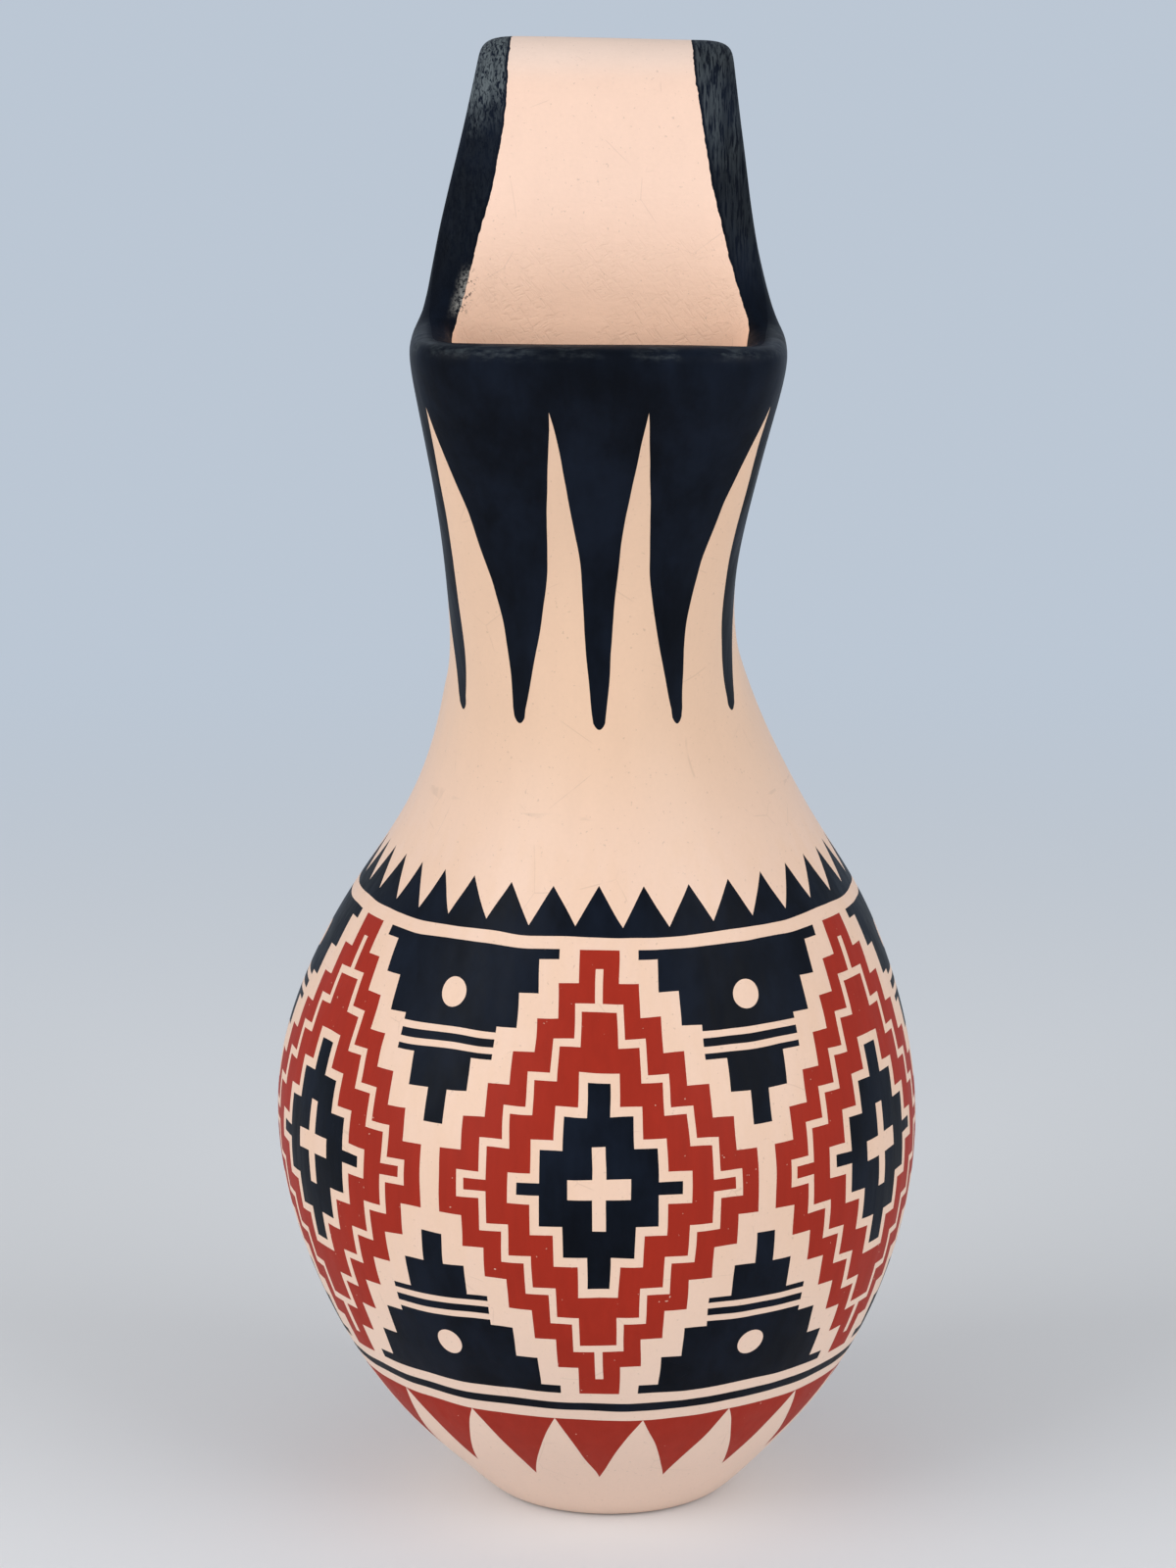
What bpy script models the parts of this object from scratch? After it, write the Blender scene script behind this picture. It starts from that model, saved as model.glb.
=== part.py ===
"""A coil-built wedding vase: a round belly, two spouts and a strap handle that bridges them.

The clay wall is one open sheet, drawn as a coarse cage of rings and loops, thickened inwards and
subdivided. The wall is then parted where the potter luted it together, so that the base, the wall
lifts, the saddle, the spouts and the handle are separate solids with a narrow slip joint between them.
Metres, +Z up, spouts along Y, the foot's centre at the origin.
"""

import math

import bmesh
import bpy
from mathutils import Vector

# Body: half widths across X at named heights.
FOOT_R = 0.0332
FOOT_FLAT_MARGIN = 0.0030
LOWER_R, LOWER_Z = 0.0603, 0.0280
FLANK_R, FLANK_Z = 0.0803, 0.0640
BELLY_R, BELLY_Z = 0.0885, 0.1060
UPPER_R, UPPER_Z = 0.0754, 0.1600
SHOULDER_R, SHOULDER_Z = 0.0536, 0.1950
SPLIT_R, SPLIT_Z = 0.0414, 0.2260
NECK_R, NECK_Z = 0.0365, 0.2570

# Body: half depths along Y, where the shoulder draws out into an oval under the spouts.
SHOULDER_DEPTH = 0.0665
SPLIT_DEPTH = 0.0618
NECK_DEPTH = 0.0605

# Heights of the joints between the wall lifts.
BASE_TOP_Z = 0.0320
LOWER_TOP_Z = 0.0760
BELLY_TOP_Z = 0.1240
UPPER_TOP_Z = 0.1660

# Spouts: the mouth is a rounded oblong, wider than deep.
LIP_HALF_W = 0.0491
LIP_FRONT_Y = 0.0860
LIP_Z = 0.3205
LIP_SQUARENESS = 3.6
WAIST_HALF_W = 0.0340
WAIST_FRONT_Y = 0.0560
WAIST_BACK_Y = 0.0176
WAIST_Z = 0.2620
FLARE_HALF_W = 0.0428
FLARE_FRONT_Y = 0.0700
FLARE_Z = 0.2890
NECK_SQUARENESS = 2.6
NECK_CORNER = 0.90
LIP_CORNER = 0.97
CORNER_ANGLE = math.radians(32)
CORNER_SETBACK = 0.76
RIM_HALF_W = 0.0480
RIM_RISE = 0.0068

# Handle and the gap under it.
CROTCH_Z = 0.2530
GAP_HALF_Y = 0.0220
GAP_SIDE_Z = 0.2900
HANDLE_ROOT_Z = 0.3290
ARCH_RISE = 0.0615
ARCH_FULLNESS = 2.5
ROOT_HALF_W = 0.0494
CROWN_HALF_W = 0.0339
STRAP_TAPER = 1.25

# Clay thickness and the joint gap.
WALL = 0.0068
LIP_WALL = 0.0108
STRAP = 0.0110
SLIP_GAP = 0.0003

# Cage counts.
AROUND = 24
ACROSS_BACK = 6
LIFT_RINGS = 3
SHOULDER_RINGS = 5
SPOUT_RINGS = 6
SADDLE_RINGS = 2
ARCH_ROWS = 8
SMOOTH_LEVELS = 1

CLAY_CREAM = (0.80, 0.60, 0.46, 1.0)
SLIP_BLACK = (0.018, 0.022, 0.030, 1.0)
CLAY_ROUGHNESS = 0.62

PIECES = (
    "base",
    "lower_wall",
    "belly_wall",
    "upper_wall",
    "shoulder",
    "saddle",
    "front_spout",
    "rear_spout",
    "handle",
)
BLACK_PIECES = ("front_spout", "rear_spout")

# A subdivided ring shrinks by this share, so the cage is drawn that much larger.
RING_FIT = 6 / (4 + 2 * math.cos(2 * math.pi / AROUND))


def through(stations, z):
    """The smooth curve through (height, size) stations, read at height z."""
    heights = [s[0] for s in stations]
    sizes = [s[1] for s in stations]
    last = len(stations) - 1
    i = max(k for k in range(last) if k == 0 or heights[k] <= z)
    secants = [(sizes[k + 1] - sizes[k]) / (heights[k + 1] - heights[k]) for k in range(last)]
    slopes = []
    for k in (i, i + 1):
        if 0 < k < last:
            below, above = heights[k] - heights[k - 1], heights[k + 1] - heights[k]
            slopes.append((secants[k - 1] * above + secants[k] * below) / (below + above))
        else:
            slopes.append(secants[min(k, last - 1)])
    span = heights[i + 1] - heights[i]
    t = (z - heights[i]) / span
    return (
        (2 * t**3 - 3 * t**2 + 1) * sizes[i]
        + (t**3 - 2 * t**2 + t) * span * slopes[0]
        + (3 * t**2 - 2 * t**3) * sizes[i + 1]
        + (t**3 - t**2) * span * slopes[1]
    )


BELLY_STATIONS = [
    (0.0, FOOT_R),
    (LOWER_Z, LOWER_R),
    (FLANK_Z, FLANK_R),
    (BELLY_Z, BELLY_R),
    (UPPER_Z, UPPER_R),
]
WIDTH_STATIONS = BELLY_STATIONS + [(SHOULDER_Z, SHOULDER_R), (SPLIT_Z, SPLIT_R), (NECK_Z, NECK_R)]
DEPTH_STATIONS = BELLY_STATIONS + [
    (SHOULDER_Z, SHOULDER_DEPTH),
    (SPLIT_Z, SPLIT_DEPTH),
    (NECK_Z, NECK_DEPTH),
]


def body_ring(z):
    """One ring of the body wall, from the +X side round by +Y."""
    half_w = through(WIDTH_STATIONS, z) * RING_FIT
    half_d = through(DEPTH_STATIONS, z) * RING_FIT
    angles = [2 * math.pi * k / AROUND for k in range(AROUND)]
    return [Vector((half_w * math.cos(a), half_d * math.sin(a), z)) for a in angles]


def flat_ring(radius):
    """A ring on the underside of the foot."""
    angles = [2 * math.pi * k / AROUND for k in range(AROUND)]
    return [Vector((radius * math.cos(a), radius * math.sin(a), 0.0)) for a in angles]


def crotch_line():
    """The valley between the spouts, from -X to +X, without its two ends on the body's sides."""
    half_w = through(WIDTH_STATIONS, SPLIT_Z) * RING_FIT
    line = []
    for k in range(1, ACROSS_BACK):
        a = math.pi * k / ACROSS_BACK
        rise = math.sqrt(math.sin(a))
        line.append(Vector((-half_w * math.cos(a), 0.0, SPLIT_Z + (CROTCH_Z - SPLIT_Z) * rise)))
    return line


def power(value, exponent):
    return math.copysign(abs(value) ** exponent, value)


def section_loop(half_w, front_y, back_y, front_z, back_z, squareness, corner_share):
    """A spout's section at the front, in the split loop's order: +X corner, front, -X corner, back."""
    mid_y, half_d = -(front_y + back_y) / 2, (front_y - back_y) / 2
    half = AROUND // 2
    loop = []
    for k in range(half + 1):
        a = CORNER_ANGLE - k * (math.pi + 2 * CORNER_ANGLE) / half
        x = half_w * power(math.cos(a), 2 / squareness)
        y = mid_y + half_d * power(math.sin(a), 2 / squareness)
        behind = max(a, -math.pi - a) / CORNER_ANGLE
        if behind > 0:
            x = math.copysign(half_w * (1 - (1 - corner_share) * behind**2), x)
            y = mid_y + half_d * CORNER_SETBACK * behind
        loop.append(Vector((x, y, 0.0)))
    corner = loop[-1]
    for k in range(1, ACROSS_BACK):
        share = 1 - 2 * k / ACROSS_BACK
        loop.append(Vector((corner.x * share, -back_y + (corner.y + back_y) * share**4, 0.0)))
    for k, p in enumerate(loop):
        share = (p.y + front_y) / (corner.y + front_y)
        p.z = back_z if k >= half else front_z + (back_z - front_z) * share**2
    return loop


def bezier(loops, v):
    """The loop at share v of a loft between four control loops."""
    weights = ((1 - v) ** 3, 3 * v * (1 - v) ** 2, 3 * v**2 * (1 - v), v**3)
    points = []
    for corners in zip(*loops):
        points.append(sum((p * w for p, w in zip(corners, weights)), Vector()))
    return points


def front_spout_loops(split_loop):
    """The rings of the front spout, from its root on the shoulder up to the lip and the rim that stands on it."""
    neck = (NECK_SQUARENESS, NECK_CORNER)
    waist = section_loop(WAIST_HALF_W, WAIST_FRONT_Y, WAIST_BACK_Y, WAIST_Z, CROTCH_Z, *neck)
    flare = section_loop(FLARE_HALF_W, FLARE_FRONT_Y, GAP_HALF_Y, FLARE_Z, GAP_SIDE_Z, *neck)
    lip_back_z = HANDLE_ROOT_Z - RIM_RISE
    lip_shape = (LIP_SQUARENESS, LIP_CORNER)
    lip = section_loop(LIP_HALF_W, LIP_FRONT_Y, GAP_HALF_Y, LIP_Z, lip_back_z, *lip_shape)
    rim_z, rim_shape = LIP_Z + RIM_RISE, (LIP_SQUARENESS, ROOT_HALF_W / RIM_HALF_W)
    rim = section_loop(RIM_HALF_W, LIP_FRONT_Y, GAP_HALF_Y, rim_z, HANDLE_ROOT_Z, *rim_shape)
    shares = [k / SPOUT_RINGS for k in range(1, SPOUT_RINGS + 1)]
    return [bezier((split_loop, waist, flare, lip), v) for v in shares] + [rim]


def arch_row(share):
    """A row across the underside of the handle, from -X to +X; share runs from front to rear root."""
    a = math.pi * share
    y = -GAP_HALF_Y * power(math.cos(a), 2 / ARCH_FULLNESS)
    rise = power(math.sin(a), 2 / ARCH_FULLNESS)
    half_w = CROWN_HALF_W + (ROOT_HALF_W - CROWN_HALF_W) * (1 - rise) ** STRAP_TAPER
    row = []
    for k in range(ACROSS_BACK + 1):
        row.append(Vector((half_w * (2 * k / ACROSS_BACK - 1), y, HANDLE_ROOT_Z + ARCH_RISE * rise)))
    return row


class Cage:
    """The coarse sheet of the outer wall, with a piece number and a clay thickness on every part of it."""

    def __init__(self):
        self.bm = bmesh.new()
        self.thickness = self.bm.verts.layers.deform.verify()

    def points(self, places, clay):
        """New vertices; clay is the wall there."""
        made = []
        for p in places:
            vert = self.bm.verts.new(p)
            vert[self.thickness][0] = clay / STRAP
            made.append(vert)
        return made

    def face(self, verts, piece):
        self.bm.faces.new(verts).material_index = PIECES.index(piece)

    def band(self, low, high, piece, closed=True):
        """Quads between two rows of points, seen from outside with low below high and +X ahead."""
        count = len(low)
        for k in range(count if closed else count - 1):
            n = (k + 1) % count
            self.face((low[k], low[n], high[n], high[k]), piece)


def lift_heights():
    """(piece, ring heights above the piece's lower joint) for each lift of the body wall."""
    joints = [0.0, BASE_TOP_Z, LOWER_TOP_Z, BELLY_TOP_Z, UPPER_TOP_Z, SPLIT_Z]
    lifts = []
    for piece, low, high in zip(PIECES, joints, joints[1:]):
        steps = SHOULDER_RINGS if piece == "shoulder" else LIFT_RINGS
        lifts.append((piece, [low + (high - low) * k / steps for k in range(1, steps + 1)]))
    return lifts


def draw_foot(cage):
    """The flat underside. Returns the ring at the foot's edge."""
    centre = cage.points([Vector()], WALL)[0]
    radii = (FOOT_R / 2, FOOT_R - FOOT_FLAT_MARGIN, FOOT_R)
    rings = [cage.points(flat_ring(radius * RING_FIT), WALL) for radius in radii]
    for k in range(AROUND):
        cage.face((centre, rings[0][(k + 1) % AROUND], rings[0][k]), "base")
    for inner, outer in zip(rings, rings[1:]):
        cage.band(inner, outer, "base")
    return rings[-1]


def draw_body(cage, ring):
    """The wall lifts, up to the ring where the spouts part. Returns that ring."""
    for piece, heights in lift_heights():
        for z in heights:
            above = cage.points(body_ring(z), WALL)
            cage.band(ring, above, piece)
            ring = above
    return ring


def draw_spout(cage, loop, piece, turn):
    """One spout on its root loop, turned to its side. Returns the back edge of its mouth."""
    half = AROUND // 2
    split_loop = [Vector((turn * v.co.x, turn * v.co.y, v.co.z)) for v in loop]
    rings = front_spout_loops(split_loop)
    for j, places in enumerate(rings):
        clay = WALL + (LIP_WALL - WALL) * (j + 1) / len(rings)
        above = cage.points([Vector((turn * p.x, turn * p.y, p.z)) for p in places], clay)
        for k in range(len(loop)):
            n = (k + 1) % len(loop)
            in_saddle = j < SADDLE_RINGS and (k == 0 or k >= half - 1)
            cage.face((loop[n], loop[k], above[k], above[n]), "saddle" if in_saddle else piece)
        loop = above
    return loop[half:] + loop[:1]


def draw_handle(cage, front_edge, rear_edge):
    """The strap, from the front mouth's back edge over to the rear mouth's."""
    row = front_edge
    for k in range(1, ARCH_ROWS):
        above = cage.points(arch_row(k / ARCH_ROWS), STRAP)
        cage.band(above, row, "handle", closed=False)
        row = above
    cage.band(rear_edge[::-1], row, "handle", closed=False)


def draw_cage():
    cage = Cage()
    ring = draw_body(cage, draw_foot(cage))
    crotch = cage.points(crotch_line(), WALL)
    half = AROUND // 2
    front = [ring[-k % AROUND] for k in range(half + 1)] + crotch
    rear = [ring[half - k] for k in range(half + 1)] + crotch[::-1]
    front_edge = draw_spout(cage, front, "front_spout", 1)
    rear_edge = draw_spout(cage, rear, "rear_spout", -1)
    draw_handle(cage, front_edge, rear_edge)
    return cage.bm


def clay_wall(collection):
    """The whole wall as one closed guide solid: the cage, thickened inwards and smoothed."""
    mesh = bpy.data.meshes.new("clay_wall")
    bm = draw_cage()
    bm.to_mesh(mesh)
    bm.free()
    for piece in PIECES:
        mesh.materials.append(clay_material(piece))
    wall = bpy.data.objects.new("clay_wall", mesh)
    wall.vertex_groups.new(name="clay")
    collection.objects.link(wall)
    thicken = wall.modifiers.new("thicken", "SOLIDIFY")
    thicken.thickness = STRAP
    thicken.offset = -1
    thicken.use_even_offset = True
    thicken.vertex_group = "clay"
    smooth = wall.modifiers.new("smooth", "SUBSURF")
    smooth.levels = smooth.render_levels = SMOOTH_LEVELS
    wall.hide_render = True
    wall.display_type = "WIRE"
    return wall


def clay_material(piece):
    """The slip colour of a piece: black on the spouts, cream elsewhere."""
    colour = SLIP_BLACK if piece in BLACK_PIECES else CLAY_CREAM
    name = "black_slip" if piece in BLACK_PIECES else "cream_slip"
    material = bpy.data.materials.get(name) or bpy.data.materials.new(name)
    material.use_nodes = True
    shader = material.node_tree.nodes["Principled BSDF"]
    shader.inputs["Base Color"].default_value = colour
    shader.inputs["Roughness"].default_value = CLAY_ROUGHNESS
    shader.inputs["Metallic"].default_value = 0.0
    material.diffuse_color = colour
    return material


def open_joint(bm):
    """Draws the cut edges back along the wall, by half the slip gap."""
    moves = {}
    for vert in bm.verts:
        if not vert.is_boundary:
            continue
        inner = [e.other_vert(vert).co - vert.co for e in vert.link_edges if not e.is_boundary]
        if not inner:
            inner = [f.calc_center_median() - vert.co for f in vert.link_faces]
        moves[vert] = sum((d.normalized() for d in inner), Vector()).normalized() * SLIP_GAP / 2
    for vert, move in moves.items():
        vert.co += move


def boundary_loops(bm):
    """The open edges, as one list for each closed loop."""
    left = {e for e in bm.edges if e.is_boundary}
    loops = []
    while left:
        front = [left.pop()]
        loop = list(front)
        while front:
            touching = {e for v in front.pop().verts for e in v.link_edges} & left
            left -= touching
            front += touching
            loop += touching
        loops.append(loop)
    return loops


def close_joints(bm):
    """Caps a loop that crosses the strap, and bridges each outer loop to the inner loop nearest to it."""
    loops = boundary_loops(bm)
    centre_and_loop = []
    for loop in loops:
        verts = {v for e in loop for v in e.verts}
        centre_and_loop.append((sum((v.co for v in verts), Vector()) / len(verts), loop))
    while centre_and_loop:
        centre, loop = centre_and_loop.pop()
        mates = [c for c in centre_and_loop if len(c[1]) == len(loop) and (c[0] - centre).length < STRAP]
        if mates:
            mate = min(mates, key=lambda c: (c[0] - centre).length)
            centre_and_loop.remove(mate)
            wall = bmesh.ops.bridge_loops(bm, edges=loop + mate[1])["faces"]
            bmesh.ops.triangulate(bm, faces=wall, quad_method="SHORT_EDGE")
        else:
            bmesh.ops.contextual_create(bm, geom=loop)


def flatten_handle_seats(whole):
    """Levels the joint under each foot of the strap, so that it seats on a flat."""
    index = PIECES.index("handle")
    in_handle = {v for f in whole.polygons if f.material_index == index for v in f.vertices}
    in_spouts = {v for f in whole.polygons if f.material_index != index for v in f.vertices}
    seat = [whole.vertices[v] for v in in_handle & in_spouts]
    level = sum(v.co.z for v in seat) / len(seat)
    for vert in seat:
        vert.co.z = level


def part_piece(whole, piece, collection):
    """One piece of the wall, parted at its joints, as a closed solid of its own."""
    bm = bmesh.new()
    bm.from_mesh(whole)
    index = PIECES.index(piece)
    bmesh.ops.delete(bm, geom=[f for f in bm.faces if f.material_index != index], context="FACES")
    open_joint(bm)
    close_joints(bm)
    bmesh.ops.recalc_face_normals(bm, faces=bm.faces)
    for face in bm.faces:
        face.material_index = 0
    mesh = bpy.data.meshes.new(piece)
    bm.to_mesh(mesh)
    bm.free()
    mesh.materials.append(clay_material(piece))
    mesh.shade_smooth()
    mesh.set_sharp_from_angle(angle=math.radians(40))
    obj = bpy.data.objects.new(piece, mesh)
    collection.objects.link(obj)
    return obj


def new_collection(name):
    made = bpy.data.collections.new(name)
    bpy.context.scene.collection.children.link(made)
    return made


def main():
    for obj in list(bpy.data.objects):
        bpy.data.objects.remove(obj)
    guides = new_collection("guides")
    vase = new_collection("wedding_vase")
    wall = clay_wall(guides)
    graph = bpy.context.evaluated_depsgraph_get()
    whole = bpy.data.meshes.new_from_object(wall.evaluated_get(graph))
    flatten_handle_seats(whole)
    for piece in PIECES:
        part_piece(whole, piece, vase)
    bpy.data.meshes.remove(whole)


main()
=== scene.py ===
import bpy
import bmesh
import math
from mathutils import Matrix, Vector, noise


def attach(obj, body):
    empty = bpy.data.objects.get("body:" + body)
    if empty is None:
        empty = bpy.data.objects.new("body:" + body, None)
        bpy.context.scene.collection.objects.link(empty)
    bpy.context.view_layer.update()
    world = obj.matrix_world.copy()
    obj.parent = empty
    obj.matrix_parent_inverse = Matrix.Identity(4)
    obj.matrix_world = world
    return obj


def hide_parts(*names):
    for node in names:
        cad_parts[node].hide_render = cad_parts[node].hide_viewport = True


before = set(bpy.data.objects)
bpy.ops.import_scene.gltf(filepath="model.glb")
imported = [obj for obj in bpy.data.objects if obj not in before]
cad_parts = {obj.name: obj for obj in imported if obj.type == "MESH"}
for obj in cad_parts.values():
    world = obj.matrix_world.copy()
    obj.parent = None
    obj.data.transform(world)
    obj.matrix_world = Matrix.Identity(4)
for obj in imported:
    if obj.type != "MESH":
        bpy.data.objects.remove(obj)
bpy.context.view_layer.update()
print("frame loaded, nodes:", len(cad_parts))

# each piece of the wall: the node that it stands for and the slip it is finished in
pieceTable = {
    "footBowl": ("base", "cream_slip"),
    "lowerLift": ("lower_wall", "cream_slip"),
    "bellyLift": ("belly_wall", "cream_slip"),
    "upperLift": ("upper_wall", "cream_slip"),
    "shoulderYoke": ("shoulder", "cream_slip"),
    "saddleBridge": ("saddle", "cream_slip"),
    "frontSpout": ("front_spout", "black_slip"),
    "rearSpout": ("rear_spout", "black_slip"),
    "strapHandle": ("handle", "cream_slip"),
}
pieceOrder = list(pieceTable)

clay = {
    "wall": 0.0068,             # thickness in metres
    "lip": 0.0108,
    "strap": 0.011,             # the thickest
    "smooth": 3,                # levels of subdivision
}
# vertex groups of the sheet: share of the thickest clay, and 1 on the inner side of the wall
groupOf = {"clay": 0, "inside": 1}


def ease(t):
    return 3 * t**2 - 2 * t**3


# smooth curve through (height, size) stations
def sizeAt(stations, z):
    last = len(stations) - 1
    i = max(k for k in range(last) if k == 0 or stations[k][0] <= z)
    slopes = []
    for k in range(last):
        (lowZ, lowSize), (highZ, highSize) = stations[k], stations[k + 1]
        slopes.append((highSize - lowSize) / (highZ - lowZ))
    ends = []
    for k in (i, i + 1):
        if 0 < k < last:
            below = stations[k][0] - stations[k - 1][0]
            above = stations[k + 1][0] - stations[k][0]
            ends.append((slopes[k - 1] * above + slopes[k] * below) / (below + above))
        else:
            ends.append(slopes[min(k, last - 1)])
    span = stations[i + 1][0] - stations[i][0]
    t = (z - stations[i][0]) / span
    bend = span * ((t**3 - 2 * t**2 + t) * ends[0] + (t**3 - t**2) * ends[1])
    return stations[i][1] * (1 - ease(t)) + stations[i + 1][1] * ease(t) + bend


# pulls a new row of faces out of an ordered loop of points
def growLoop(bm, loop, closed=True):
    ahead = loop[1:] + loop[:1] if closed else loop[1:]
    edges = [bm.edges.get(pair) for pair in zip(loop, ahead)]
    grown = bmesh.ops.extrude_edge_only(bm, edges=edges)["geom"]
    fresh = {g for g in grown if isinstance(g, bmesh.types.BMVert)}
    above = []
    for vert in loop:
        beside = [e.other_vert(vert) for e in vert.link_edges]
        above.append(next(v for v in beside if v in fresh))
    return above


def markRow(low, high, piece):
    for face in {f for v in low for f in v.link_faces} & {f for v in high for f in v.link_faces}:
        face.material_index = pieceOrder.index(piece)


def setClay(bm, verts, thickness):
    layer = bm.verts.layers.deform.verify()
    for vert in verts:
        vert[layer][groupOf["clay"]] = thickness / clay["strap"]


bodyShape = {
    "around": 24,
    "foot": 0.0332,             # radius of the flat underneath
    "footMargin": 0.003,
    "belly": [(0.0, 0.0332), (0.028, 0.0603), (0.064, 0.0803), (0.106, 0.0885), (0.160, 0.0754)],
    "across": [(0.195, 0.0536), (0.226, 0.0414), (0.257, 0.0365)],
    "deep": [(0.195, 0.0665), (0.226, 0.0618), (0.257, 0.0605)],   # the shoulder turns oval
    "lifts": [                  # piece, height of its top, rows of faces
        ("footBowl", 0.032, 3),
        ("lowerLift", 0.076, 3),
        ("bellyLift", 0.124, 3),
        ("upperLift", 0.166, 3),
        ("shoulderYoke", 0.226, 5),
    ],
}
# a smoothed ring shrinks by this share
ringFit = 6 / (4 + 2 * math.cos(2 * math.pi / bodyShape["around"]))


# foot disc, then every lift of the wall pulled up from it ring by ring
def raiseBody(bm):
    s = bodyShape
    radius = s["foot"] * ringFit
    foot = bmesh.ops.create_circle(bm, cap_ends=True, segments=s["around"], radius=radius)["verts"]
    ring = sorted(foot, key=lambda v: round(math.atan2(v.co.y, v.co.x) % (2 * math.pi), 4))
    cap = foot[0].link_faces[0]
    for inset in (s["footMargin"], s["foot"] / 2 - s["footMargin"]):
        bmesh.ops.inset_region(bm, faces=[cap], thickness=inset * ringFit, use_boundary=True)
    bmesh.ops.poke(bm, faces=[cap])
    wide, deep, z = s["foot"], s["foot"], 0.0
    for piece, top, rows in s["lifts"]:
        start = z
        for k in range(1, rows + 1):
            above = growLoop(bm, ring)
            height = start + (top - start) * k / rows
            newWide = sizeAt(s["belly"] + s["across"], height)
            newDeep = sizeAt(s["belly"] + s["deep"], height)
            bmesh.ops.scale(bm, vec=(newWide / wide, newDeep / deep, 1), verts=above)
            bmesh.ops.translate(bm, vec=(0, 0, height - z), verts=above)
            markRow(ring, above, piece)
            ring, wide, deep, z = above, newWide, newDeep, height
    setClay(bm, bm.verts, clay["wall"])
    return ring


# sections of a spout: half width, distance of front and back from the vase's axis, and their heights
spoutShape = {
    "acrossBack": 6,
    "crotch": 0.253,            # height of the valley between the spouts
    "waist": {"wide": 0.034, "front": 0.056, "back": 0.0176, "frontZ": 0.262, "backZ": 0.253},
    "flare": {"wide": 0.0428, "front": 0.070, "back": 0.022, "frontZ": 0.289, "backZ": 0.290},
    "lip": {"wide": 0.0491, "front": 0.086, "back": 0.022, "frontZ": 0.3205, "backZ": 0.3222},
    "rim": {"wide": 0.048, "front": 0.086, "back": 0.022, "frontZ": 0.3273, "backZ": 0.329},
    "neckSquare": (2.6, 0.90),  # squareness, share of the width kept at the back corners
    "lipSquare": (3.6, 0.97),
    "rimSquare": (3.6, 1.03),   # the rim widens towards the strap
    "corner": math.radians(32),
    "setback": 0.76,            # the back corners, as a share of half the depth
    "rows": 6,
    "saddleRows": 2,
}


def roundPower(value, exponent):
    return math.copysign(abs(value) ** exponent, value)


# rounded oblong section of a spout: right back corner, front, left back corner, then the back wall
def spoutSection(size, square):
    s = spoutShape
    squareness, cornerShare = square
    midY, halfD = -(size["front"] + size["back"]) / 2, (size["front"] - size["back"]) / 2
    half = bodyShape["around"] // 2
    loop = []
    for k in range(half + 1):
        a = s["corner"] - k * (math.pi + 2 * s["corner"]) / half
        x = size["wide"] * roundPower(math.cos(a), 2 / squareness)
        y = midY + halfD * roundPower(math.sin(a), 2 / squareness)
        behind = max(a, -math.pi - a) / s["corner"]
        if behind > 0:
            x = math.copysign(size["wide"] * (1 - (1 - cornerShare) * behind**2), x)
            y = midY + halfD * s["setback"] * behind
        loop.append(Vector((x, y, 0)))
    corner = loop[-1]
    for k in range(1, s["acrossBack"]):
        share = 1 - 2 * k / s["acrossBack"]
        y = (corner.y + size["back"]) * share**4 - size["back"]
        loop.append(Vector((corner.x * share, y, 0)))
    for k, p in enumerate(loop):
        share = min(1, (p.y + size["front"]) / (corner.y + size["front"]))
        p.z = size["frontZ"] + (size["backZ"] - size["frontZ"]) * (1 if k >= half else share**2)
    return loop


# one spout, pulled up from its root loop on the shoulder; turn is -1 for the rear one
def raiseSpout(bm, root, piece, turn):
    s = spoutShape
    half = bodyShape["around"] // 2
    rootPlaces = [Vector((turn * v.co.x, turn * v.co.y, v.co.z)) for v in root]
    sections = (
        rootPlaces,
        spoutSection(s["waist"], s["neckSquare"]),
        spoutSection(s["flare"], s["neckSquare"]),
        spoutSection(s["lip"], s["lipSquare"]),
    )
    rings = []
    for k in range(1, s["rows"] + 1):
        t = k / s["rows"]
        pull = ((1 - t) ** 3, 3 * t * (1 - t) ** 2, 3 * t**2 * (1 - t), t**3)
        rings.append([sum((p * w for p, w in zip(row, pull)), Vector()) for row in zip(*sections)])
    rings.append(spoutSection(s["rim"], s["rimSquare"]))
    loop = root
    for j, ring in enumerate(rings):
        above = growLoop(bm, loop)
        for vert, p in zip(above, ring):
            vert.co = (turn * p.x, turn * p.y, p.z)
        setClay(bm, above, clay["wall"] + (clay["lip"] - clay["wall"]) * (j + 1) / len(rings))
        markRow(loop, above, piece)
        if j < s["saddleRows"]:
            for k in [0] + list(range(half - 1, len(loop))):
                n = (k + 1) % len(loop)
                face = bm.faces.get((loop[n], loop[k], above[k], above[n]))
                face.material_index = pieceOrder.index("saddleBridge")
        loop = above
    return loop[half:] + loop[:1]


handleShape = {
    "rows": 8,
    "rootZ": 0.329,
    "rise": 0.0615,
    "gap": 0.022,               # half the gap under the strap
    "fullness": 2.5,
    "root": 0.0494,             # half widths
    "crown": 0.0339,
    "taper": 1.25,
}


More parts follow.
